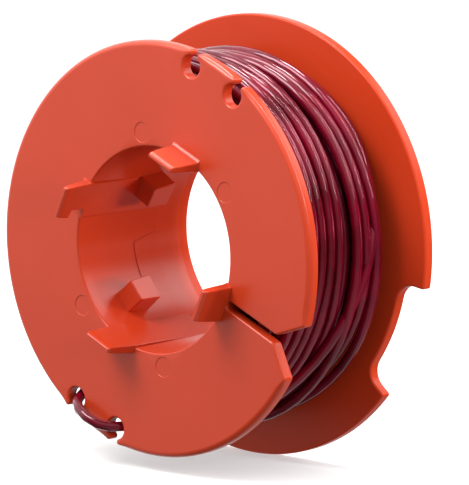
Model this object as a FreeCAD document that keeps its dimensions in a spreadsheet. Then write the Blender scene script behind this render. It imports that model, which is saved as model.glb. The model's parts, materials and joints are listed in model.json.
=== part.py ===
"""Spool of grass-trimmer cutting line: one moulded reel with two unequal flanges, and its line.

Row frame: the spool axis is Y, the smaller (front) flange faces -Y and +Z is up. The origin
is on the axis, in the plane of the rear face. The moulding is drawn in its own frame, where
z is the depth behind the front face and x points along the first feed tab, and every piece
of it then gets the same placement.
"""

import FreeCAD, Part
import math
import os
import re

DIMENSIONS = (
    # alias, millimetres or degrees, what it is
    ("overall_width", 25.3, "front face to rear face"),
    ("design_axis", 65.4, "direction of the first feed tab, from +X toward +Z"),
    ("front_radius", 32.0, "front flange"),
    ("front_thickness", 2.0, "front flange"),
    ("front_rounding", 0.8, "outer front edge of the front flange"),
    ("rear_radius", 34.6, "rear flange"),
    ("rear_thickness", 1.9, "rear flange"),
    ("edge_rounding", 0.35, "other rim edges"),
    ("hub_radius", 17.7, "barrel that the line is wound on"),
    ("bore_mouth_radius", 15.9, "bore at the front face"),
    ("bore_inner_radius", 15.5, "bore at the depth of the rear land"),
    ("land_radius", 16.2, "wider rear land, which runs on the spindle"),
    ("land_depth", 17.7, "depth where the rear land starts"),
    ("notch_angle", 8.9, "each keyhole notch from the design axis"),
    ("notch_centre", 29.7, "radius of the notches' hole centres"),
    ("notch_radius", 1.7, "hole of a notch"),
    ("notch_flare", 0.4, "countersink round a notch's hole"),
    ("notch_mouth", 1.5, "width of a notch's opening in the rim"),
    ("slit_angle", 89.5, "line slit from the design axis"),
    ("slit_width", 1.35, "line slit"),
    ("slit_inner", 16.7, "radius of the slit's closed end"),
    ("slit_outer", 27.3, "radius where the slit opens into its mouth"),
    ("slit_mouth_slope", 0.88, "sideways growth of the mouth for each mm outward"),
    ("anchor_depth", 8.0, "depth of the pocket in the barrel below the slit"),
    ("cutout_angle", 90.1, "middle of the rear flange's cutout"),
    ("cutout_half_angle", 15.7, "half of the cutout"),
    ("cutout_floor", 29.9, "radius of the cutout's floor"),
    ("cutout_corner", 2.8, "inner corners of the cutout"),
    ("witness_centre", 18.0, "radius of the round ejector marks' centres"),
    ("witness_radius", 1.6, "an ejector mark"),
    ("witness_depth", 0.12, "an ejector mark"),
    ("witness_angle", 31.5, "ejector marks from the design axis"),
    ("rib_inner", 15.25, "radius of the flat inner faces of tabs and ribs"),
    ("rib_width", 6.0, "a rib in the bore"),
    ("gap_angle", 9.6, "gap that leaves a hook on the fourth tab, from the tab's middle"),
    ("gap_width", 2.4, "the same gap"),
    ("gap_length", 2.8, "the same gap, in front of the face"),
    ("drive_inner", 12.1, "radius of a drive lug's inner face"),
    ("drive_width", 4.0, "a drive lug, round the axis"),
    ("drive_length", 4.5, "a drive lug, along the axis"),
    ("drive_front_angle", 26.4, "front pair of drive lugs from the design axis"),
    ("drive_front_depth", 6.2, "depth of the front pair's front ends"),
    ("drive_rear_angle", 96.5, "rear pair of drive lugs from the design axis"),
    ("drive_rear_depth", 10.9, "depth of the rear pair's front ends"),
    ("winding_radius", 28.05, "outside of the wound line"),
    ("winding_offset", 1.7, "how far the loose winding sits off the axis"),
    ("winding_offset_angle", 110.0, "where it leans to, from +X toward +Z"),
    ("line_diameter", 1.6, "round cutting line"),
)

# Feed tab profile, from the root to the tip: distance in front of the face, inner radius,
# outer radius and half width. A small flare at the root, a long taper, a lead-in at the tip.
TAB_STATIONS = (
    ("root", 0.0, 15.25, 17.3, 3.1),
    ("neck", 0.5, 15.25, 16.75, 2.95),
    ("shoulder", 4.5, 15.25, 16.35, 2.65),
    ("tip", 5.4, 15.6, 16.0, 2.4),
)

# Route of the line's parked end: radius, angle from +X toward +Z and depth behind the front
# face. It leaves the winding, passes out through one notch, runs over the front face and
# goes back through the next notch.
PARKED_ROUTE = (
    (28.0, 272.0, 5.6),
    (28.9, 257.3, 5.0),
    (30.0, 252.4, -2.0),
    (29.7, 238.4, -2.0),
    (29.5, 233.3, 5.0),
    (29.4, 218.0, 5.3),
    (29.1, 203.0, 5.6),
)
ARC_SHARE = 0.45
QUARTER_TURNS = (0, 90, 180, 270)
HALF_TURNS = (0, 180)

doc = FreeCAD.newDocument("trimmer_line_spool")
sheet = doc.addObject("Spreadsheet::Sheet", "dims")


def fill_sheet():
    """Write the driving dimensions as plain numbers, each with its alias."""
    rows = list(DIMENSIONS)
    for station, forward, inner, outer, half_width in TAB_STATIONS:
        rows.append((f"tab_{station}_forward", forward, f"feed tab {station}: in front of the face"))
        rows.append((f"tab_{station}_inner", inner, f"feed tab {station}: inner radius"))
        rows.append((f"tab_{station}_outer", outer, f"feed tab {station}: outer radius"))
        rows.append((f"tab_{station}_half", half_width, f"feed tab {station}: half width"))
    for number, (alias, value, meaning) in enumerate(rows, start=1):
        sheet.set(f"A{number}", meaning)
        sheet.set(f"B{number}", str(value))
        sheet.setAlias(f"B{number}", alias)
    doc.recompute()
    return {row[0] for row in rows}


ALIASES = fill_sheet()
PLACES = {
    "x": "Placement.Base.x",
    "y": "Placement.Base.y",
    "z": "Placement.Base.z",
    "turn": "Placement.Rotation.Angle",
}


def size(alias):
    """Value of a driving dimension."""
    return float(sheet.get(alias))


def shape_of(kind, name, **formulas):
    """Add a Part object and bind each property to a formula of driving dimensions."""
    item = doc.addObject(kind, name)
    for prop, formula in formulas.items():
        linked = re.sub(
            r"[a-z]\w*",
            lambda word: f"dims.{word[0]}" if word[0] in ALIASES else word[0],
            formula,
        )
        item.setExpression(PLACES.get(prop, prop), linked)
    return item


def disc(name, radius, low, high, centre="0", phi="0"):
    """Cylinder between two depths, its centre at a polar place."""
    return shape_of(
        "Part::Cylinder",
        name,
        Radius=radius,
        Height=f"({high}) - ({low})",
        x=f"({centre}) * cos({phi})",
        y=f"({centre}) * sin({phi})",
        z=low,
    )


def radial_box(name, phi, inner, outer, width, low, high):
    """Box that lies along the radius at polar angle phi, between two depths."""
    return shape_of(
        "Part::Box",
        name,
        Length=f"({outer}) - ({inner})",
        Width=width,
        Height=f"({high}) - ({low})",
        x=f"({inner}) * cos({phi}) + ({width}) / 2 * sin({phi})",
        y=f"({inner}) * sin({phi}) - ({width}) / 2 * cos({phi})",
        z=low,
        turn=phi,
    )


def fused(name, pieces):
    item = doc.addObject("Part::MultiFuse", name)
    item.Shapes = pieces
    return item


def cut(name, base, tools):
    item = doc.addObject("Part::Cut", name)
    item.Base = base
    item.Tool = tools[0] if len(tools) == 1 else fused(f"{name}_tools", tools)
    return item


def common(name, base, tool):
    item = doc.addObject("Part::Common", name)
    item.Base = base
    item.Tool = tool
    return item


def rounded(name, base, radii):
    """Fillet chosen edges; radii maps an edge number, from 1, to its radius."""
    item = doc.addObject("Part::Fillet", name)
    item.Base = base
    item.Edges = [(edge, radius, radius) for edge, radius in radii.items()]
    return item


def rim_edges(item, depth):
    """Numbers of the item's round edges at one depth."""
    doc.recompute()
    found = []
    for number, edge in enumerate(item.Shape.Edges, start=1):
        box = edge.BoundBox
        flat = max(abs(box.ZMin - depth), abs(box.ZMax - depth)) < 1e-6
        if flat and isinstance(edge.Curve, Part.Circle):
            found.append(number)
    return found


def rounded_disc(name, radius, low, high, low_rounding, high_rounding):
    """Flange blank with both rim edges rounded."""
    blank = disc(f"{name}_blank", radius, low, high)
    doc.recompute()
    base = blank.Placement.Base.z
    radii = {number: low_rounding for number in rim_edges(blank, base)}
    radii.update({number: high_rounding for number in rim_edges(blank, base + blank.Height.Value)})
    return rounded(f"{name}_rounded", blank, radii)


def bore_tool(name):
    """Drafted front part of the bore, from the front face to the rear land."""
    return shape_of(
        "Part::Cone",
        name,
        Radius1="bore_mouth_radius",
        Radius2="bore_inner_radius",
        Height="land_depth",
    )


def keyhole_tools(number, phi):
    """A notch: a flared hole near the rim and a narrow mouth through the rim."""
    hole = disc(f"notch_{number}_hole", "notch_radius", "0", "front_thickness", "notch_centre", phi)
    flare = shape_of(
        "Part::Cone",
        f"notch_{number}_flare",
        Radius1="notch_radius + notch_flare",
        Radius2="notch_radius",
        Height="notch_flare",
        x=f"notch_centre * cos({phi})",
        y=f"notch_centre * sin({phi})",
    )
    mouth = radial_box(
        f"notch_{number}_mouth",
        phi,
        "notch_centre",
        "front_radius + 1",
        "notch_mouth",
        "0",
        "front_thickness",
    )
    return [hole, flare, mouth]


def slit_tools():
    """Radial slit with a round closed end and a flared mouth through the rim."""
    end_centre = "slit_inner + slit_width / 2"
    end = disc("slit_end", "slit_width / 2", "0", "front_thickness", end_centre, "slit_angle")
    run = radial_box(
        "slit_run", "slit_angle", end_centre, "slit_outer + 1", "slit_width", "0", "front_thickness"
    )
    reach = "(front_radius + 2 - slit_outer)"
    mouth = shape_of(
        "Part::Wedge",
        "slit_mouth",
        Xmin="-slit_width / 2",
        Xmax="slit_width / 2",
        Zmin="0",
        Zmax="front_thickness",
        Ymin="0",
        Ymax=reach,
        X2min=f"-slit_width / 2 - slit_mouth_slope * {reach}",
        X2max=f"slit_width / 2 + slit_mouth_slope * {reach}",
        Z2min="0",
        Z2max="front_thickness",
        x="slit_outer * cos(slit_angle)",
        y="slit_outer * sin(slit_angle)",
        turn="slit_angle - 90",
    )
    return [end, run, mouth]


def front_flange():
    plate = rounded_disc(
        "front_plate",
        "front_radius",
        "0",
        "front_thickness",
        size("front_rounding"),
        size("edge_rounding"),
    )
    tools = [bore_tool("front_bore")]
    notch_angles = [f"{sign}notch_angle + {turn}" for turn in HALF_TURNS for sign in ("", "-")]
    for number, phi in enumerate(notch_angles, start=1):
        tools += keyhole_tools(number, phi)
    tools += slit_tools()
    mark_angles = [f"{sign}witness_angle + {turn}" for turn in HALF_TURNS for sign in ("", "-")]
    for number, phi in enumerate(mark_angles, start=1):
        mark = disc(
            f"ejector_mark_{number}", "witness_radius", "0", "witness_depth", "witness_centre", phi
        )
        tools.append(mark)
    return cut("front_flange", plate, tools)


def hub_barrel():
    """Barrel between the flanges, with the line's anchor pocket below the slit."""
    barrel = disc("barrel_blank", "hub_radius", "front_thickness", "overall_width - rear_thickness")
    land = disc("barrel_land", "land_radius", "land_depth", "overall_width")
    pocket_start = "slit_inner + slit_width / 2"
    pocket = radial_box(
        "anchor_pocket", "slit_angle", pocket_start, "hub_radius + 1", "slit_width", "0", "anchor_depth"
    )
    pocket_end = disc(
        "anchor_pocket_end", "slit_width / 2", "0", "anchor_depth", pocket_start, "slit_angle"
    )
    return cut("hub_barrel", barrel, [bore_tool("barrel_bore"), land, pocket, pocket_end])


def cutout_tool():
    """Sector beyond the cutout's floor, with both inner corners rounded."""
    start = "cutout_angle - cutout_half_angle"
    low = "overall_width - rear_thickness"
    sector = shape_of(
        "Part::Cylinder",
        "cutout_sector",
        Radius="rear_radius + 4",
        Height="rear_thickness",
        Angle="2 * cutout_half_angle",
        z=low,
        turn=start,
    )
    core = disc("cutout_core", "cutout_floor", low, "overall_width")
    ring = cut("cutout_ring", sector, [core])
    doc.recompute()
    corners = {}
    for number, edge in enumerate(ring.Shape.Edges, start=1):
        box = edge.BoundBox
        upright = box.ZLength > 0.9 * size("rear_thickness")
        at_floor = math.hypot(box.XMin, box.YMin) < size("cutout_floor") + 0.1
        if upright and at_floor:
            corners[number] = size("cutout_corner")
    return rounded("cutout_tool", ring, corners)


def rear_flange():
    plate = rounded_disc(
        "rear_plate",
        "rear_radius",
        "overall_width - rear_thickness",
        "overall_width",
        size("edge_rounding"),
        size("edge_rounding"),
    )
    land = disc("rear_land", "land_radius", "overall_width - rear_thickness", "overall_width")
    return cut("rear_flange", plate, [land, cutout_tool()])


def rib(name, phi):
    """Flat rib in the bore: the part of the drafted bore beyond a flat face."""
    blank = radial_box(
        f"{name}_blank", phi, "rib_inner", "bore_mouth_radius + 1", "rib_width", "0", "land_depth"
    )
    return common(name, blank, bore_tool(f"{name}_bore"))


def tab_stage(name, phi, lower, upper):
    """One tapering stage of a feed tab, between two stations of its profile."""
    stage = shape_of(
        "Part::Wedge",
        name,
        Ymin=f"tab_{lower}_forward",
        Ymax=f"tab_{upper}_forward",
        Xmin=f"tab_{lower}_inner",
        Xmax=f"tab_{lower}_outer",
        X2min=f"tab_{upper}_inner",
        X2max=f"tab_{upper}_outer",
        Zmin=f"-tab_{lower}_half",
        Zmax=f"tab_{lower}_half",
        Z2min=f"-tab_{upper}_half",
        Z2max=f"tab_{upper}_half",
    )
    forward = FreeCAD.Rotation(FreeCAD.Vector(1, 0, 0), -90)
    stage.Placement.Rotation = FreeCAD.Rotation(FreeCAD.Vector(0, 0, 1), phi) * forward
    return stage


def feed_lugs():
    """Four tabs round the bore's mouth, each going on as a rib inside it; the last is hooked."""
    lugs = []
    ribs = []
    for number, phi in enumerate(QUARTER_TURNS, start=1):
        ribs.append(rib(f"rib_{number}", str(phi)))
        pieces = [ribs[-1]]
        for lower, upper in zip(TAB_STATIONS, TAB_STATIONS[1:]):
            name = f"tab_{number}_{lower[0]}"
            pieces.append(tab_stage(name, phi, lower[0], upper[0]))
        lugs.append(fused(f"feed_lug_{number}" if number < 4 else "hooked_tab_blank", pieces))
    gap = radial_box("hook_gap", "270 - gap_angle", "14", "19", "gap_width", "-gap_length", "0")
    lugs[-1] = cut("feed_lug_4", lugs[-1], [gap])
    return lugs, ribs


def drive_lugs(pair, ribs):
    """Two opposite square lugs that stand in from the bore wall, clear of the ribs."""
    lugs = []
    for number, turn in enumerate(HALF_TURNS, start=1):
        name = f"{pair}_drive_lug_{number}"
        block = radial_box(
            f"{name}_block",
            f"drive_{pair}_angle + {turn}",
            "drive_inner",
            "bore_mouth_radius + 1",
            "drive_width",
            f"drive_{pair}_depth",
            f"drive_{pair}_depth + drive_length",
        )
        inside = common(f"{name}_inside", block, bore_tool(f"{name}_bore"))
        lugs.append(cut(name, inside, ribs))
    return lugs


def line_winding():
    """Outer shape of the loosely wound line: a full barrel, leaning a little off the axis."""
    lean = "design_axis - winding_offset_angle"
    low = "front_thickness"
    high = "overall_width - rear_thickness"
    outside = disc("winding_outside", "winding_radius", low, high, "winding_offset", lean)
    inside = disc("winding_inside", "hub_radius", low, high)
    return cut("line_winding", outside, [inside])


def route_point(radius, angle, depth):
    turn = math.radians(angle)
    return FreeCAD.Vector(
        radius * math.cos(turn), depth - size("overall_width"), radius * math.sin(turn)
    )


def tangent_path(points):
    """Straight runs joined by tangent arcs, each as large as its shorter run allows."""
    edges = []
    start = points[0]
    for before, corner, after in zip(points, points[1:], points[2:]):
        back = before - corner
        ahead = after - corner
        reach = ARC_SHARE * min(back.Length, ahead.Length)
        back.normalize()
        ahead.normalize()
        half_turn = (math.pi - back.getAngle(ahead)) / 2
        radius = reach / math.tan(half_turn)
        print(f"parked line: turn {math.degrees(2 * half_turn):.1f} deg, arc radius {radius:.2f} mm")
        enter = corner + back * reach
        leave = corner + ahead * reach
        inward = back + ahead
        inward.normalize()
        middle = corner + inward * (radius / math.cos(half_turn) - radius)
        edges.append(Part.LineSegment(start, enter).toShape())
        edges.append(Part.Arc(enter, middle, leave).toShape())
        start = leave
    edges.append(Part.LineSegment(start, points[-1]).toShape())
    return Part.Wire(edges)


def line_parked_end():
    """Round tube along the parked end of the line."""
    points = [route_point(*place) for place in PARKED_ROUTE]
    path = tangent_path(points)
    radius = size("line_diameter") / 2
    section = Part.Wire([Part.Circle(points[0], points[1] - points[0], radius).toShape()])
    tube = path.makePipeShell([section], True, False)
    expected = math.pi * radius**2 * path.Length
    print(f"parked line: {path.Length:.2f} mm long, volume {tube.Volume:.3f}, section x length {expected:.3f}")
    if abs(tube.Volume - expected) > 0.01 * expected:
        raise RuntimeError("the parked line's volume is not its section times its length")
    item = doc.addObject("Part::Feature", "line_parked_end")
    item.Shape = tube
    return item


def place_in_row(items):
    """Turn the moulding's frame into the row frame, and put its rear face at the origin."""
    onto_y = FreeCAD.Rotation(FreeCAD.Vector(1, 0, 0), -90)
    by_axis = FreeCAD.Rotation(FreeCAD.Vector(0, 0, 1), -size("design_axis"))
    base = FreeCAD.Vector(0, -size("overall_width"), 0)
    for item in items:
        item.Placement = FreeCAD.Placement(base, onto_y * by_axis)


def check_and_write(subparts):
    doc.recompute()
    broken = [item.Name for item in doc.Objects if {"Invalid", "Error"} & set(item.State)]
    if broken:
        raise RuntimeError(f"failed objects: {broken}")
    for item in subparts:
        item.Label = item.Name
        if item.Shape.isNull() or not item.Shape.isValid() or len(item.Shape.Solids) != 1:
            raise RuntimeError(f"bad shape: {item.Label}")
    os.makedirs("parts", exist_ok=True)
    for item in subparts:
        item.Shape.exportStep(f"parts/{item.Label}.step")
        print(f"{item.Label}: {item.Shape.Volume:.1f} mm3")


feed, bore_ribs = feed_lugs()
moulding = [front_flange(), hub_barrel(), rear_flange()] + feed
moulding += drive_lugs("front", bore_ribs) + drive_lugs("rear", bore_ribs)
winding = line_winding()
place_in_row(moulding + [winding])
check_and_write(moulding + [winding, line_parked_end()])
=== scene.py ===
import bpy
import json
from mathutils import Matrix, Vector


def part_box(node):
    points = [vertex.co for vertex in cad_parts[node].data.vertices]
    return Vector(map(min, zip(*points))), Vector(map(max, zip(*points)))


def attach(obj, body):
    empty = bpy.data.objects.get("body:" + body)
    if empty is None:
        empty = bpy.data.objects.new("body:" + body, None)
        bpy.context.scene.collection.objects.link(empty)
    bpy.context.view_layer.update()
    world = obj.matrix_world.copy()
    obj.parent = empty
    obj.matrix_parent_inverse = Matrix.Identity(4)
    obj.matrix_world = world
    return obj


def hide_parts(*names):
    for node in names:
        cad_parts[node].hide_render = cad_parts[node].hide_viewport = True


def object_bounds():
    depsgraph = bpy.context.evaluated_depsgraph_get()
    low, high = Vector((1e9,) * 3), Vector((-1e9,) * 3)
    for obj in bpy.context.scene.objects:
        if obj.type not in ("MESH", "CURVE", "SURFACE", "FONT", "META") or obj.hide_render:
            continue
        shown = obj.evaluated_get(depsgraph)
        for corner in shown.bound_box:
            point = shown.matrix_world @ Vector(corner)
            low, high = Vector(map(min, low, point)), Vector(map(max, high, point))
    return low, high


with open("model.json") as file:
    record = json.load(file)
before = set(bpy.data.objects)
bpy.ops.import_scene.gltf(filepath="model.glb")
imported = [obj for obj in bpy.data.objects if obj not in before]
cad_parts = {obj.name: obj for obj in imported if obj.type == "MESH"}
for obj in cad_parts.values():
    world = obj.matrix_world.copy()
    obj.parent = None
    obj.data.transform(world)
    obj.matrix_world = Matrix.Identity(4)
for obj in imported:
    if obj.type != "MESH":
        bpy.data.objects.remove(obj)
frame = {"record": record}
CAD_BOX = [list(corner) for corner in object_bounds()]

import cmath
import json
import math
import random

import bmesh
import bpy
from mathutils import Vector

# A spool of grass-trimmer line. The spool's axis is Y and its front flange faces -Y.
# Places on it are a radius and an angle, from +X toward +Z, in its face, and a depth behind
# the front face. Lengths are in millimetres and angles in degrees until point() turns them
# into Blender's metres. Flat outlines are complex numbers: x + z * 1j. The camera's place, the
# floor, the lights and the materials are in metres.
MM = 0.001
FRONT_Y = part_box("front_flange")[0].y
FLOOR_Z = CAD_BOX[0][2]
LAND_RADIUS = frame["record"]["mounts"][0]["dims"]["r_mm"]
WIDTH = -FRONT_Y / MM
# Direction of the first feed lug; the other features are placed from it.
DESIGN_AXIS = 65.4
FRONT_RADIUS = 32.0
FRONT_THICKNESS = 2.0
REAR_RADIUS = 34.6
REAR_THICKNESS = 1.9
HUB_RADIUS = 17.7
BORE_RADIUS = 15.87
BORE_INNER_RADIUS = 15.5
# The round land at the rear of the bore starts here.
LAND_DEPTH = 17.7
SLIT_ANGLE = DESIGN_AXIS - 89.5
SLIT_HALF = 0.675
SLIT_END = 16.7
# The pocket in the barrel behind the slit, where the line is anchored, ends here.
POCKET_DEPTH = 8.0
CUTOUT_ANGLE = DESIGN_AXIS - 90.1
LINE_RADIUS = 0.8
WINDING_RADIUS = 28.05
WINDING_LEAN = 1.7
WINDING_LEAN_ANGLE = 110.0
HALF_TURNS = (0, 180)
QUARTER_TURNS = (0, 90, 180, 270)


def polar(radius, angle):
    """Flat point at a radius and an angle."""
    return cmath.rect(radius, math.radians(angle))


def point(flat, depth):
    """Scene point of a flat point at a depth behind the front face."""
    return Vector((flat.real * MM, FRONT_Y + depth * MM, flat.imag * MM))


# ---------------------------------------------------------------- camera

CAMERA_AZIMUTH = math.radians(42.281)
CAMERA_ELEVATION = math.radians(7.712)
CAMERA_DISTANCE = 0.6912
CAMERA_TARGET = Vector((0.00542, FRONT_Y / 2, 0.00037))
# Lens and sensor are in millimetres, as Blender takes them.
FOCAL_LENGTH = 334.0
SENSOR_WIDTH = 36.0
VIEW_LIMIT = 50


def make_camera():
    level = math.cos(CAMERA_ELEVATION)
    back = Vector(
        (
            math.sin(CAMERA_AZIMUTH) * level,
            -math.cos(CAMERA_AZIMUTH) * level,
            math.sin(CAMERA_ELEVATION),
        )
    )
    data = bpy.data.cameras.new("camera")
    data.lens = FOCAL_LENGTH
    data.sensor_width = SENSOR_WIDTH
    data.clip_end = VIEW_LIMIT
    camera = bpy.data.objects.new("camera", data)
    camera.location = CAMERA_TARGET + back * CAMERA_DISTANCE
    camera.rotation_euler = back.to_track_quat("Z", "Y").to_euler()
    bpy.context.scene.collection.objects.link(camera)
    bpy.context.scene.camera = camera


# ---------------------------------------------------------------- cutting line

# Route of the parked end, as in the CAD: radius, angle and depth. It leaves the winding,
# passes out through one notch, crosses the front face and goes back through the next.
PARKED_ROUTE = (
    (28.0, 272.0, 5.6),
    (28.9, 257.3, 5.0),
    (30.0, 252.4, -2.0),
    (29.7, 238.4, -2.0),
    (29.5, 233.3, 5.0),
    (29.4, 218.0, 5.3),
    (29.1, 203.0, 5.6),
)
# The last turn's way back over the others to the parked end: radius, angle and depth.
CROSSING = [
    (28.5, 10.0, 19.2),
    (28.1, -7.0, 16.9),
    (27.6, -27.0, 13.9),
    (27.3, -48.0, 11.2),
    (27.5, -69.0, 8.3),
]
# The turns end at this angle, or up to this much past it, where the crossing starts.
TURNS_END_ANGLE = 30.0
TURNS_END_REACH = 10
ANCHOR = (17.4, SLIT_ANGLE, 4.4)
POINTS_PER_TURN = 18
PASSES = 7
TURNS_PER_PASS = 9.2
# Gap between a flange and the turns beside it.
FLANGE_GAP = 0.05
SEED = 11
# Wander of the depth from its even advance: share kept from point to point, and new part.
DRIFT_KEPT = 0.965
DRIFT_NEW = 0.34
# Depths tried round the aim, and what a choice costs for each millimetre off the aim and
# off the depth before it, against a millimetre of radius.
TRIED_STEP = 0.15
TRIED_STEPS = range(-4, 5)
AIM_COST = 0.9
SHIFT_COST = 0.8
# Most that the line's radius may change from one point to the next.
CLIMB = 0.35
# Most that the last pass may lie below the winding's outside.
LAST_PASS_SINK = 0.2
# A quadratic spline with its control points round a circle runs at this share of their radius.
SPLINE_SHARE = 0.75 + 0.25 * math.cos(2 * math.pi / POINTS_PER_TURN)


def wound_turns():
    """Turns laid from flange to flange and back, each resting on those already there."""
    random.seed(SEED)
    low = FRONT_THICKNESS + LINE_RADIUS + FLANGE_GAP
    high = WIDTH - REAR_THICKNESS - LINE_RADIUS - FLANGE_GAP
    line = 2 * LINE_RADIUS
    count = int(PASSES * TURNS_PER_PASS * POINTS_PER_TURN)
    radii, depths, drift = [], [], 0.0
    for index in range(count):
        share = index / POINTS_PER_TURN / TURNS_PER_PASS
        along = share % 1.0 if int(share) % 2 == 0 else 1.0 - share % 1.0
        drift = DRIFT_KEPT * drift + random.uniform(-DRIFT_NEW, DRIFT_NEW)
        aim = low + along * (high - low) + drift
        below = range(index % POINTS_PER_TURN, index, POINTS_PER_TURN)

        def rest(depth):
            radius = HUB_RADIUS + LINE_RADIUS
            for other in below:
                gap = abs(depth - depths[other])
                if gap < line:
                    radius = max(radius, radii[other] + math.sqrt(line**2 - gap**2))
            return radius

        last = depths[-1] if depths else low

        def cost(depth):
            return rest(depth) + AIM_COST * abs(depth - aim) + SHIFT_COST * abs(depth - last)

        choices = [min(max(aim + TRIED_STEP * step, low), high) for step in TRIED_STEPS]
        depth = min(choices, key=cost)
        radius = rest(depth)
        if radii:
            radius = max(radius, radii[-1] - CLIMB)
        back = index - 1
        while back >= 0 and radii[back] < radius - CLIMB * (index - back):
            radii[back] = radius - CLIMB * (index - back)
            back -= 1
        radii.append(radius)
        depths.append(depth)
    return radii, depths


def outermost(angle):
    """Radius of the line's centre where it lies at the winding's leaning outside."""
    lean = WINDING_LEAN * math.cos(math.radians(angle - WINDING_LEAN_ANGLE))
    return WINDING_RADIUS - LINE_RADIUS + lean


def line_points():
    """The whole line: from its anchor in the barrel, over its turns, to its parked end."""
    radii, depths = wound_turns()
    last_pass = radii[-int(TURNS_PER_PASS * POINTS_PER_TURN) :]
    top = sum(last_pass) / len(last_pass)
    places = []
    for index, (radius, depth) in enumerate(zip(radii, depths)):
        angle = SLIT_ANGLE - 360 * (index + 1) / POINTS_PER_TURN
        outside = outermost(angle)
        full = min((radius - HUB_RADIUS) / (top - HUB_RADIUS), 1.0)
        loosened = radius + (outside - top) * full**2
        if index > len(radii) - len(last_pass):
            loosened = max(loosened, outside - LAST_PASS_SINK)
        places.append((loosened, angle, depth))
    while (places[-1][1] - TURNS_END_ANGLE) % 360 > TURNS_END_REACH:
        places.pop()
    places += CROSSING
    wound = [(radius / SPLINE_SHARE, angle, depth) for radius, angle, depth in places]
    route = [ANCHOR, *wound, *PARKED_ROUTE]
    return [point(polar(radius, angle), depth) for radius, angle, depth in route]


def make_line():
    points = line_points()
    data = bpy.data.curves.new("cutting_line", "CURVE")
    data.dimensions = "3D"
    data.resolution_u = 3
    data.bevel_depth = LINE_RADIUS * MM
    data.bevel_resolution = 4
    data.use_fill_caps = True
    spline = data.splines.new("NURBS")
    spline.points.add(len(points) - 1)
    for slot, place in zip(spline.points, points):
        slot.co = (*place, 1.0)
    spline.order_u = 3
    spline.use_endpoint_u = True
    line = bpy.data.objects.new("cutting_line", data)
    bpy.context.scene.collection.objects.link(line)
    finish_piece(line, line_material(), "red_nylon", "line_winding", "line_parked_end")


# ---------------------------------------------------------------- materials

# Range of a noise's factor that is spread over a material's own range.
NOISE_LOW = 0.3
NOISE_HIGH = 0.7
CLOUD_DETAIL = 2
GLOSS_DETAIL = 2
RELIEF_DETAIL = 1
# The rear flange gets its own copy of the plastic, with less shine than the rest of the moulding.
# This is painted shade: the weaker gloss stands in for the shade that the front flange and the
# winding throw on it.
FULL_SHINE = 0.5
REAR_SHADE_SHINE = 0.2


def new_material(name, inputs):
    """New material with its shader's inputs set; returns it with its nodes and links."""
    made = bpy.data.materials.new(name)
    made.use_nodes = True
    nodes, links = made.node_tree.nodes, made.node_tree.links
    for socket, value in inputs.items():
        nodes["Principled BSDF"].inputs[socket].default_value = value
    return made, nodes, links


def noise(nodes, links, scale, detail):
    """Noise texture in the object's own coordinates."""
    place = nodes.get("place") or nodes.new("ShaderNodeTexCoord")
    place.name = "place"
    made = nodes.new("ShaderNodeTexNoise")
    made.inputs["Scale"].default_value = scale
    made.inputs["Detail"].default_value = detail
    links.new(place.outputs["Object"], made.inputs["Vector"])
    return made.outputs["Fac"]


def mapped(nodes, links, factor, low, high):
    """Noise factor spread over a range."""
    made = nodes.new("ShaderNodeMapRange")
    made.inputs["From Min"].default_value = NOISE_LOW
    made.inputs["From Max"].default_value = NOISE_HIGH
    made.inputs["To Min"].default_value = low
    made.inputs["To Max"].default_value = high
    links.new(factor, made.inputs["Value"])
    return made.outputs["Result"]


def uneven_material(name, cloud, gloss, relief, inputs):
    """Material with cloudy colour, uneven gloss and a fine relief, each from its own noise.

    Each of the three is a noise scale and two values: the colours, the least and the most
    roughness, and the relief's strength and height.
    """
    made, nodes, links = new_material(name, inputs)
    shader = nodes["Principled BSDF"]
    scale, first, second = cloud
    factor = noise(nodes, links, scale, CLOUD_DETAIL)
    colour = nodes.new("ShaderNodeMix")
    colour.data_type = "RGBA"
    colour.inputs["A"].default_value = (*first, 1)
    colour.inputs["B"].default_value = (*second, 1)
    links.new(mapped(nodes, links, factor, 0, 1), colour.inputs["Factor"])
    links.new(colour.outputs["Result"], shader.inputs["Base Color"])
    scale, low, high = gloss
    factor = noise(nodes, links, scale, GLOSS_DETAIL)
    links.new(mapped(nodes, links, factor, low, high), shader.inputs["Roughness"])
    scale, strength, height = relief
    bump = nodes.new("ShaderNodeBump")
    bump.inputs["Strength"].default_value = strength
    bump.inputs["Distance"].default_value = height
    links.new(noise(nodes, links, scale, RELIEF_DETAIL), bump.inputs["Height"])
    links.new(bump.outputs["Normal"], shader.inputs["Normal"])
    return made


def plastic_material(name, shine):
    """Satin injection-moulded coral plastic."""
    if name in bpy.data.materials:
        return bpy.data.materials[name]
    return uneven_material(
        name,
        cloud=(50, (0.52, 0.040, 0.009), (0.56, 0.046, 0.012)),
        gloss=(60, 0.28, 0.34),
        relief=(1600, 0.02, 0.00004),
        inputs={
            "Subsurface Weight": 0.05,
            "Subsurface Radius": (1.0, 0.22, 0.1),
            "Subsurface Scale": 0.0012,
            "IOR": 1.5,
            "Specular IOR Level": shine,
        },
    )


def line_material():
    """Glossy, slightly clear dark red nylon."""
    return uneven_material(
        "clear_red_nylon",
        cloud=(160, (0.11, 0.001, 0.008), (0.25, 0.0015, 0.022)),
        gloss=(300, 0.08, 0.13),
        relief=(500, 0.1, 0.00005),
        inputs={
            "Transmission Weight": 0.3,
            "Coat Weight": 0.42,
            "Coat Roughness": 0.03,
            "Specular IOR Level": 0.4,
            "Specular Tint": (1.0, 0.5, 0.6, 1),
            "IOR": 1.53,
        },
    )


# ---------------------------------------------------------------- mesh helpers

MERGE_DISTANCE = 1e-7
SHARP_ANGLE = math.radians(38)
NORMALS_WEIGHT = 90


def finish_piece(piece, material, slot, *nodes):
    """Give a piece its material and body, and hide the CAD nodes that it stands for; its slot is
    not used.
    """
    piece.data.materials.append(material)
    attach(piece, "root")
    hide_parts(*nodes)


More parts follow.
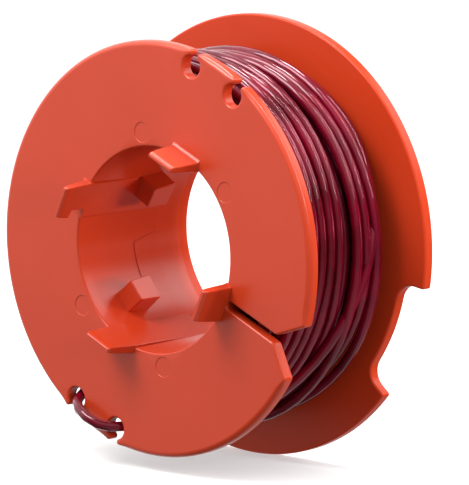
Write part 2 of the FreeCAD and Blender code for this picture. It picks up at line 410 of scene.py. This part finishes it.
def add_moulding(name, mesh, node):
    """Turn a bmesh into a smooth-shaded plastic piece that replaces one CAD node."""
    bmesh.ops.remove_doubles(mesh, verts=mesh.verts, dist=MERGE_DISTANCE)
    bmesh.ops.recalc_face_normals(mesh, faces=mesh.faces)
    data = bpy.data.meshes.new(name)
    mesh.to_mesh(data)
    mesh.free()
    data.shade_smooth()
    data.set_sharp_from_angle(angle=SHARP_ANGLE)
    piece = bpy.data.objects.new(name, data)
    bpy.context.scene.collection.objects.link(piece)
    normals = piece.modifiers.new("flat faces", "WEIGHTED_NORMAL")
    normals.keep_sharp = True
    normals.weight = NORMALS_WEIGHT
    # Painted shade: the rear flange takes the less shiny copy of the plastic in place of the shade
    # that it lies in.
    if node == "rear_flange":
        plastic = plastic_material("coral_shaded_copy", REAR_SHADE_SHINE)
    else:
        plastic = plastic_material("moulded_coral", FULL_SHINE)
    finish_piece(piece, plastic, "coral_plastic", node)


def stitch(mesh, first, second):
    """Quads between two closed rings of the same length."""
    for index in range(len(first)):
        ahead = (index + 1) % len(first)
        corners = [first[index], first[ahead], second[ahead], second[index]]
        mesh.faces.new(corners)


def ring_edges(mesh, ring):
    """Edges round a closed ring, made where they don't exist yet."""
    pairs = zip(ring, ring[1:] + ring[:1])
    return [mesh.edges.get(pair) or mesh.edges.new(pair) for pair in pairs]


def loft(mesh, sections):
    """Skin closed sections in turn, with a cap at each end."""
    rings = [[mesh.verts.new(place) for place in section] for section in sections]
    for first, second in zip(rings, rings[1:]):
        stitch(mesh, first, second)
    mesh.faces.new(rings[0])
    mesh.faces.new(rings[-1])


def arc(centre, radius, start, end, steps):
    """Flat points along an arc, both ends included."""
    return [centre + polar(radius, start + (end - start) * k / steps) for k in range(steps + 1)]


def direction(flat):
    """Angle at which a flat point lies, or in which a flat step points."""
    return math.degrees(cmath.phase(flat))


def bend(before, corner, after, radius, steps=6):
    """Arc that rounds a corner between two straight sides."""
    back = (before - corner) / abs(before - corner)
    ahead = (after - corner) / abs(after - corner)
    middle = (back + ahead) / abs(back + ahead)
    half = abs(cmath.phase(ahead / back)) / 2
    centre = corner + middle * radius / math.sin(half)
    start = direction(corner + back * radius / math.tan(half) - centre)
    end = direction(corner + ahead * radius / math.tan(half) - centre)
    return arc(centre, radius, start, start + (end - start + 180) % 360 - 180, steps)


def rounded_box(half_a, half_b, radius, steps=4):
    """Rounded rectangle round the origin."""
    points = []
    for turn, (a, b) in zip(QUARTER_TURNS, ((1, 1), (-1, 1), (-1, -1), (1, -1))):
        centre = complex(a * (half_a - radius), b * (half_b - radius))
        points += arc(centre, radius, turn, turn + 90, steps)
    return points


# ---------------------------------------------------------------- flanges

NOTCH_CENTRE = 29.7
NOTCH_RADIUS = 1.7
NOTCH_MOUTH_HALF = 0.75
NOTCH_ANGLE = 8.9
LIP_RADIUS = 0.42
NECK_RADIUS = 0.36
RIM_ROUNDING = 0.9
HOLE_ROUNDING = 0.4
LIP_ROUNDING = 0.34
EDGE_ROUNDING = 0.35
BORE_ROUNDING = 0.3
# Steps in the arcs of the outlines, and across a rounded edge.
LIP_STEPS = 6
NECK_STEPS = 5
HOLE_STEPS = 16
SLIT_END_STEPS = 8
CUTOUT_STEPS = 8
MARK_POINTS = 36
ROUNDING_STEPS = 6
# Most that a rounding may exceed the mean of itself and its neighbours, after each easing.
EASING_SLACK = 0.02
EASINGS = 5
# The slit's mouth: corner at the rim, corner at the narrow run, their radii and roundings.
SLIT_RIM = complex(31.68, -4.54)
SLIT_NECK = complex(27.3, -SLIT_HALF)
SLIT_RIM_RADIUS = 0.6
SLIT_NECK_RADIUS = 1.0
SLIT_ROUNDING = 0.4
SLIT_END_ROUNDING = 0.3
# How far before its corner the rim is taken as a straight run into the slit or the cutout.
SLIT_RUN_IN = 4
CUTOUT_RUN_IN = 3
CUTOUT_HALF_ANGLE = 15.7
CUTOUT_FLOOR = 29.9
CUTOUT_CORNER = 2.8
CUTOUT_LIP_RADIUS = 0.4
# The rim between two features has a point about each so many degrees, and no fewer steps
# than the second number.
RIM_STEP = 1.2
RIM_STEPS_LEAST = 3
# Ejector marks: radius of their centres, angle from the design axis, and radius and depth.
MARK_PLACE = 18.0
MARK_ANGLE = 31.5
MARK_STEPS = ((1.6, 0.0), (1.56, 0.06), (1.5, 0.1))
BORE_ANGLES = [1.25 * k for k in range(288)]


def mirrored(half):
    """Both halves of a feature that is even about its own radius."""
    return half + [(flat.conjugate(), size) for flat, size in reversed(half[:-1])]


def notch():
    """Keyhole notch about the real axis: rim, lip, narrow mouth and hole."""
    side = NOTCH_MOUTH_HALF + LIP_RADIUS
    lip = complex(math.sqrt((FRONT_RADIUS - LIP_RADIUS) ** 2 - side**2), -side)
    side = NOTCH_MOUTH_HALF + NECK_RADIUS
    reach = math.sqrt((NOTCH_RADIUS + NECK_RADIUS) ** 2 - side**2)
    neck = complex(NOTCH_CENTRE + reach, -side)
    from_hole = direction(neck - NOTCH_CENTRE)
    mouth = arc(lip, LIP_RADIUS, direction(lip), 90, LIP_STEPS)
    mouth += arc(neck, NECK_RADIUS, 90, from_hole + 180, NECK_STEPS)
    hole = arc(NOTCH_CENTRE, NOTCH_RADIUS, from_hole, -180, HOLE_STEPS)
    half = [(flat, LIP_ROUNDING) for flat in mouth]
    half += [(flat, HOLE_ROUNDING) for flat in hole[1:]]
    return mirrored(half)


def slit():
    """Line slit about the real axis: flared mouth, narrow run and round closed end."""
    end = complex(SLIT_END + SLIT_HALF, 0)
    before = SLIT_RIM * polar(1, -SLIT_RUN_IN)
    mouth = bend(before, SLIT_RIM, SLIT_NECK, SLIT_RIM_RADIUS)
    mouth += bend(SLIT_RIM, SLIT_NECK, end - SLIT_HALF * 1j, SLIT_NECK_RADIUS)
    half = [(flat, SLIT_ROUNDING) for flat in mouth]
    closed_end = arc(end, SLIT_HALF, -90, -180, SLIT_END_STEPS)
    half += [(flat, SLIT_END_ROUNDING) for flat in closed_end]
    return mirrored(half)


def cutout():
    """Cutout in the rear rim about the real axis: near-radial sides and a round floor."""
    reach = CUTOUT_FLOOR + CUTOUT_CORNER
    lean = math.degrees(math.asin(CUTOUT_CORNER / reach))
    side = -CUTOUT_HALF_ANGLE
    rim = polar(REAR_RADIUS, side)
    start = polar(reach * math.cos(math.radians(lean)), side)
    corner = polar(reach, lean + side)
    half = bend(rim * polar(1, -CUTOUT_RUN_IN), rim, start, CUTOUT_LIP_RADIUS)
    half += arc(corner, CUTOUT_CORNER, side - 90, lean + side - 180, CUTOUT_STEPS)
    half += arc(0, CUTOUT_FLOOR, lean + side, 0, CUTOUT_STEPS)[1:]
    return mirrored([(flat, EDGE_ROUNDING) for flat in half])


def rim_with(radius, rounding, features):
    """Closed rim, counter-clockwise, with features let into it at their angles."""
    placed = []
    for angle, shape in features:
        placed.append([(flat * polar(1, angle), size) for flat, size in shape])
    placed.sort(key=lambda shape: direction(shape[len(shape) // 2][0]) % 360)
    edge = []
    for shape, following in zip(placed, placed[1:] + placed[:1]):
        edge += shape
        start, end = direction(shape[-1][0]), direction(following[0][0])
        span = (end - start) % 360
        steps = max(RIM_STEPS_LEAST, round(span / RIM_STEP))
        edge += [(flat, rounding) for flat in arc(0, radius, start, start + span, steps)[1:-1]]
    return edge


def eased(sizes):
    """Smooth the change from one edge rounding to the next, without raising any."""
    for _ in range(EASINGS):
        before = sizes[-1:] + sizes[:-1]
        after = sizes[1:] + sizes[:1]
        means = [sum(three) / 3 for three in zip(before, sizes, after)]
        sizes = [min(size, mean + EASING_SLACK) for size, mean in zip(sizes, means)]
    return sizes


def edge_wall(mesh, flats, front, rear, front_sizes, rear_sizes):
    """Wall along a closed edge, rounded at both faces; returns its first and last rings."""
    count = len(flats)
    inward = []
    for index in range(count):
        along = flats[(index + 1) % count] - flats[index - 1]
        inward.append(1j * along / abs(along))
    turns = [math.pi / 2 * step / ROUNDING_STEPS for step in range(ROUNDING_STEPS + 1)]
    stages = [(front, 1, front_sizes, turn) for turn in turns]
    stages += [(rear, -1, rear_sizes, turn) for turn in reversed(turns)]
    rings = []
    for face, way, sizes, turn in stages:
        inset, drop = 1 - math.sin(turn), way * (1 - math.cos(turn))
        ring = []
        for flat, normal, size in zip(flats, inward, sizes):
            place = point(flat + normal * size * inset, face + size * drop)
            ring.append(mesh.verts.new(place))
        rings.append(ring)
    for first, second in zip(rings, rings[1:]):
        stitch(mesh, first, second)
    return rings[0], rings[-1]


def ejector_mark(mesh, angle):
    """Shallow round witness mark; returns its ring in the face."""
    centre = polar(MARK_PLACE, angle)
    rings = []
    for radius, depth in MARK_STEPS:
        flats = arc(centre, radius, 0, -360, MARK_POINTS)[:-1]
        rings.append([mesh.verts.new(point(flat, depth)) for flat in flats])
    stitch(mesh, rings[0], rings[1])
    stitch(mesh, rings[1], rings[2])
    mesh.faces.new(rings[2])
    return rings[0]


def face_fill(mesh, rings):
    """Flat face between an outer ring and the holes in it."""
    edges = [edge for ring in rings for edge in ring_edges(mesh, ring)]
    bmesh.ops.triangle_fill(mesh, use_beauty=True, use_dissolve=False, edges=edges)


def make_plate(node, rim, bore, depths, bore_sizes, marks):
    """Flange plate from its rim, its bore and its ejector marks."""
    mesh = bmesh.new()
    flats = [flat for flat, _ in rim]
    sizes = eased([size for _, size in rim])
    rear_sizes = [min(size, EDGE_ROUNDING) for size in sizes]
    outer = edge_wall(mesh, flats, *depths, sizes, rear_sizes)
    circle = [polar(bore, -angle) for angle in BORE_ANGLES]
    inner = edge_wall(mesh, circle, *depths, *([size] * len(circle) for size in bore_sizes))
    face_fill(mesh, [outer[0], inner[0]] + [ejector_mark(mesh, angle) for angle in marks])
    face_fill(mesh, [outer[1], inner[1]])
    add_moulding(f"{node}_shell", mesh, node)


def make_flanges():
    sides = [(turn, sign) for turn in HALF_TURNS for sign in (1, -1)]
    notches = [(DESIGN_AXIS + sign * NOTCH_ANGLE + turn, notch()) for turn, sign in sides]
    marks = [DESIGN_AXIS + sign * MARK_ANGLE + turn for turn, sign in sides]
    rim = rim_with(FRONT_RADIUS, RIM_ROUNDING, notches + [(SLIT_ANGLE, slit())])
    depths = (0.0, FRONT_THICKNESS)
    make_plate("front_flange", rim, BORE_RADIUS, depths, (BORE_ROUNDING, 0.0), marks)
    rim = rim_with(REAR_RADIUS, EDGE_ROUNDING, [(CUTOUT_ANGLE, cutout())])
    depths = (WIDTH - REAR_THICKNESS, WIDTH)
    make_plate("rear_flange", rim, LAND_RADIUS, depths, (0.0, BORE_ROUNDING), [])


# ---------------------------------------------------------------- barrel

# Line in the bore where the two halves of the mould's core met: angle past the design axis
# and depth. Between two ribs it steps forward, and the wall behind it stands proud, less and
# less over the last degrees.
SHUT_OFF_END = 152.0
SHUT_OFF = (
    (0, 17.5),
    (114.6, 17.5),
    (119.8, 12.2),
    (SHUT_OFF_END, 12.4),
    (152.1, 17.5),
    (180, 17.5),
)
# Nearer the rear than this depth, the line has no step.
SHUT_OFF_REACH = 17.4
SHUT_OFF_PROUD = 0.13
SHUT_OFF_FADE = 14
SHUT_OFF_HALF = 0.05
CORE_END = 17.55
# Small bevels in the steps to the rear land and to the end of the anchor pocket.
LAND_BEVEL_RADIUS = 0.1
LAND_BEVEL = 0.03
POCKET_BEVEL = 0.05
# Columns just inside and just outside each side of the pocket, as shares of its half angle.
POCKET_COLUMNS = (0.97, 1.01)


def shut_off_depth(beyond):
    """Depth of the shut-off line at an angle past the design axis."""
    for (start, low), (end, high) in zip(SHUT_OFF, SHUT_OFF[1:]):
        if start <= beyond <= end:
            return low + (high - low) * (beyond - start) / (end - start)
    return LAND_DEPTH


def barrel_profile(angle):
    """Section of the barrel at one angle: drafted bore, core step, rear land and outside."""
    beyond = (angle - DESIGN_AXIS) % 180
    seam = shut_off_depth(beyond)
    fade = (SHUT_OFF_END - beyond) / SHUT_OFF_FADE
    proud = SHUT_OFF_PROUD * min(max(fade, 0.0), 1.0) if seam < SHUT_OFF_REACH else 0.0
    draft = (BORE_RADIUS - BORE_INNER_RADIUS) / (LAND_DEPTH - FRONT_THICKNESS)

    def bore(depth):
        return BORE_RADIUS - draft * (depth - FRONT_THICKNESS)

    side = abs((angle - SLIT_ANGLE + 180) % 360 - 180)
    in_pocket = HUB_RADIUS * math.radians(side) < SLIT_HALF
    outside = SLIT_END + POCKET_BEVEL if in_pocket else HUB_RADIUS
    rear = WIDTH - REAR_THICKNESS
    return (
        (bore(FRONT_THICKNESS), FRONT_THICKNESS),
        (bore(seam - SHUT_OFF_HALF), seam - SHUT_OFF_HALF),
        (bore(seam) - proud, seam + SHUT_OFF_HALF),
        (bore(CORE_END) - proud, CORE_END),
        (BORE_INNER_RADIUS + LAND_BEVEL_RADIUS, LAND_DEPTH - LAND_BEVEL),
        (LAND_RADIUS, LAND_DEPTH),
        (LAND_RADIUS, rear),
        (HUB_RADIUS, rear),
        (HUB_RADIUS, POCKET_DEPTH),
        (outside, POCKET_DEPTH - POCKET_BEVEL),
        (outside, FRONT_THICKNESS),
    )


def make_barrel():
    mesh = bmesh.new()
    half = math.degrees(SLIT_HALF / HUB_RADIUS)
    offsets = [side * half * share for side in (1, -1) for share in POCKET_COLUMNS]
    pocket_angles = [(SLIT_ANGLE + offset) % 360 for offset in offsets]
    columns = []
    for angle in sorted(BORE_ANGLES + pocket_angles):
        places = [point(polar(radius, angle), depth) for radius, depth in barrel_profile(angle)]
        columns.append([mesh.verts.new(place) for place in places])
    for first, second in zip(columns, columns[1:] + columns[:1]):
        stitch(mesh, first, second)
    add_moulding("hub_barrel_shell", mesh, "hub_barrel")


# ---------------------------------------------------------------- tabs and lugs

# Feed lug: depth, inner radius, outer radius and half width, from the bore to the tip.
FEED_LUG_STATIONS = (
    (17.65, 15.45, 16.6, 2.8),
    (17.4, 15.25, 16.6, 3.0),
    (0.5, 15.25, 16.6, 3.0),
    (0.4, 15.25, 17.3, 3.1),
    (0.0, 15.25, 17.3, 3.1),
    (-0.15, 15.25, 16.95, 3.0),
    (-0.5, 15.25, 16.75, 2.95),
    (-2.7, 15.25, 16.55, 2.8),
    (-3.0, 15.25, 16.5, 2.78),
    (-4.5, 15.25, 16.35, 2.65),
    (-4.95, 15.35, 16.28, 2.6),
    (-5.3, 15.5, 16.1, 2.5),
    (-5.4, 15.62, 16.0, 2.4),
)
FLARED = 17.3
UNFLARED = 16.7
WAIST_START = -2.8
# Each feed lug in turn: half width of its waist, if it has one, and its largest radius.
FEED_LUGS = ((None, FLARED), (None, UNFLARED), (None, UNFLARED), (1.5, FLARED))
# Corner rounding of a feed lug's section, and the one for a section thinner than THIN.
LUG_CORNER = 0.2
THIN_CORNER = 0.15
THIN = 0.45

# Drive lug: radius, and how far its outline is drawn in there.
DRIVE_LUG_STATIONS = ((16.5, -0.05), (12.35, 0.0), (12.2, 0.04), (12.13, 0.1), (12.1, 0.18))
DRIVE_LUG_LENGTH = 4.5
DRIVE_LUG_HALF = 2.0
DRIVE_LUG_SKEW = 0.15
DRIVE_LUG_CORNER = 0.28
DRIVE_LUG_CORNER_STEPS = 4
# Pair, angle before the design axis, depth of the front end and half width there.
DRIVE_LUGS = (("front_drive_lug", 26.4, 6.2, 1.7), ("rear_drive_lug", 96.5, 10.9, 1.4))


def make_feed_lug(number, angle, waist, largest):
    """Tab in front of the face, and its flat rib in the bore; a waist leaves a hook at the tip."""
    mesh = bmesh.new()
    sections = []
    for depth, inner, outer, half_width in FEED_LUG_STATIONS:
        side = waist if waist and WAIST_START < depth < 0.0 else half_width
        outer = min(outer, largest)
        middle = complex((inner + outer) / 2, (side - half_width) / 2)
        corner = LUG_CORNER if outer - inner > THIN else THIN_CORNER
        shape = rounded_box((outer - inner) / 2, (side + half_width) / 2, corner)
        sections.append([point((middle + flat) * polar(1, angle), depth) for flat in shape])
    loft(mesh, sections)
    add_moulding(f"feed_lug_{number}_shell", mesh, f"feed_lug_{number}")


def make_drive_lug(name, angle, front, front_side):
    """Lug that stands in from the bore wall, narrower at its front end, with soft edges."""
    mesh = bmesh.new()
    sections = []
    for radius, inset in DRIVE_LUG_STATIONS:
        near, far = front + inset, front + DRIVE_LUG_LENGTH - inset
        side = DRIVE_LUG_HALF - inset
        corners = [complex(side, near), complex(side, far)]
        corners += [complex(-side - DRIVE_LUG_SKEW, far), complex(inset - front_side, near)]
        outline = []
        neighbours = zip(corners[-1:] + corners[:-1], corners, corners[1:] + corners[:1])
        for three in neighbours:
            outline += bend(*three, DRIVE_LUG_CORNER, DRIVE_LUG_CORNER_STEPS)
        turned = [(complex(radius, flat.real) * polar(1, angle), flat.imag) for flat in outline]
        sections.append([point(flat, depth) for flat, depth in turned])
    loft(mesh, sections)
    add_moulding(f"{name}_shell", mesh, name)


def make_lugs():
    for number, (turn, (waist, largest)) in enumerate(zip(QUARTER_TURNS, FEED_LUGS), start=1):
        make_feed_lug(number, DESIGN_AXIS - turn, waist, largest)
    for number, turn in enumerate(HALF_TURNS, start=1):
        for name, before, front, front_side in DRIVE_LUGS:
            angle = DESIGN_AXIS - before - turn
            make_drive_lug(f"{name}_{number}", angle, front, front_side)


# ---------------------------------------------------------------- floor and light

FLOOR_HALF = 3.0
SKY_STRENGTH = 1.1
# Least share of the strength anywhere in the sky.
SKY_LEAST = 0.08
# How far upward a direction points, and the share of the strength there.
SKY = ((-1.0, 0.6), (-0.4, 0.6), (-0.25, 0.3), (0.0, 0.2), (0.22, 0.25), (0.42, 0.75), (1.0, 0.9))
# Direction of a patch, how closely a direction faces it at its edge and where it is full, and
# the share that it adds.
PATCHES = (
    ((-0.99, 0.0, 0.05), 0.4, 0.58, 0.95),
    ((0.45, 0.8, 0.4), 0.35, 0.8, -0.6),
    ((-0.45, -0.5, -0.74), 0.7, 0.84, -0.9),
)
# Name, place, size, power, and whether glossy surfaces mirror the light.
LIGHTS = (
    ("key", (-0.08, -0.23, 0.3), (0.2, 0.2), 1.35, True),
    ("top", (-0.06, 0.1, 0.45), (0.1, 0.1), 0.9, True),
    ("strip", (0.27, 0.03, 0.32), (0.015, 0.5), 1.3, True),
    ("side", (0.38, -0.13, 0.08), (0.14, 0.14), 0.4, False),
    ("back", (0.2, 0.42, 0.3), (0.3, 0.3), 0.9, True),
    ("bore", (0.3, 0.36, 0.01), (0.2, 0.06), 1.5, False),
)


def make_floor():
    """Pale floor under the spool, which neither lights it nor shows in its gloss."""
    data = bpy.data.meshes.new("floor")
    half = FLOOR_HALF
    corners = [(-half, -half), (half, -half), (half, half), (-half, half)]
    data.from_pydata([(x, y, FLOOR_Z) for x, y in corners], [], [(0, 1, 2, 3)])
    floor = bpy.data.objects.new("floor", data)
    bpy.context.scene.collection.objects.link(floor)
    paint = {
        "Base Color": (0.64, 0.64, 0.64, 1),
        "Roughness": 0.9,
        "Specular IOR Level": 0.1,
        "Emission Color": (1, 1, 1, 1),
        "Emission Strength": 0.4,
    }
    made, _, _ = new_material("floor_paint", paint)
    data.materials.append(made)
    floor.visible_glossy = False
    floor.visible_diffuse = False


def make_light(name, place, size, power, glossy):
    """Area light that faces the middle of the spool."""
    data = bpy.data.lights.new(name, "AREA")
    data.shape = "RECTANGLE"
    data.size, data.size_y = size
    data.energy = power
    light = bpy.data.objects.new(name, data)
    back = Vector(place) - Vector((0, FRONT_Y / 2, 0))
    light.location = place
    light.rotation_euler = back.to_track_quat("Z", "Y").to_euler()
    light.visible_glossy = glossy
    bpy.context.scene.collection.objects.link(light)


def make_sky():
    """White studio: bright above and below, dim along the horizon, with uneven patches."""
    scene = bpy.context.scene
    scene.view_settings.view_transform = "Standard"
    scene.world = bpy.data.worlds.new("studio")
    scene.world.use_nodes = True
    nodes, links = scene.world.node_tree.nodes, scene.world.node_tree.links

    def combined(operation, first, second):
        """Output of a math node; its second value is an output or a number."""
        made = nodes.new("ShaderNodeMath")
        made.operation = operation
        links.new(first, made.inputs[0])
        if isinstance(second, float):
            made.inputs[1].default_value = second
        else:
            links.new(second, made.inputs[1])
        return made.outputs["Value"]

    toward = nodes.new("ShaderNodeTexCoord").outputs["Generated"]
    split = nodes.new("ShaderNodeSeparateXYZ")
    links.new(toward, split.inputs["Vector"])
    height = nodes.new("ShaderNodeMapRange")
    height.inputs["From Min"].default_value = -1.0
    links.new(split.outputs["Z"], height.inputs["Value"])
    ramp = nodes.new("ShaderNodeValToRGB")
    links.new(height.outputs["Result"], ramp.inputs["Fac"])
    stops = ramp.color_ramp.elements
    every_stop = [stops[0], stops[1]] + [stops.new(0.5) for _ in SKY[2:]]
    for (upward, share), stop in zip(SKY, every_stop):
        stop.position = (upward + 1) / 2
        stop.color = (share, share, share, 1)
    total = ramp.outputs["Color"]
    for middle, edge, full, share in PATCHES:
        facing = nodes.new("ShaderNodeVectorMath")
        facing.operation = "DOT_PRODUCT"
        facing.inputs[1].default_value = middle
        links.new(toward, facing.inputs[0])
        patch = nodes.new("ShaderNodeMapRange")
        patch.inputs["From Min"].default_value = edge
        patch.inputs["From Max"].default_value = full
        patch.inputs["To Max"].default_value = share
        links.new(facing.outputs["Value"], patch.inputs["Value"])
        total = combined("ADD", total, patch.outputs["Result"])
    total = combined("MULTIPLY", combined("MAXIMUM", total, SKY_LEAST), SKY_STRENGTH)
    background = nodes["Background"]
    background.inputs["Color"].default_value = (1, 1, 1, 1)
    links.new(total, background.inputs["Strength"])


make_camera()
make_line()
make_flanges()
make_barrel()
make_lugs()
make_floor()
make_sky()
for light in LIGHTS:
    make_light(*light)
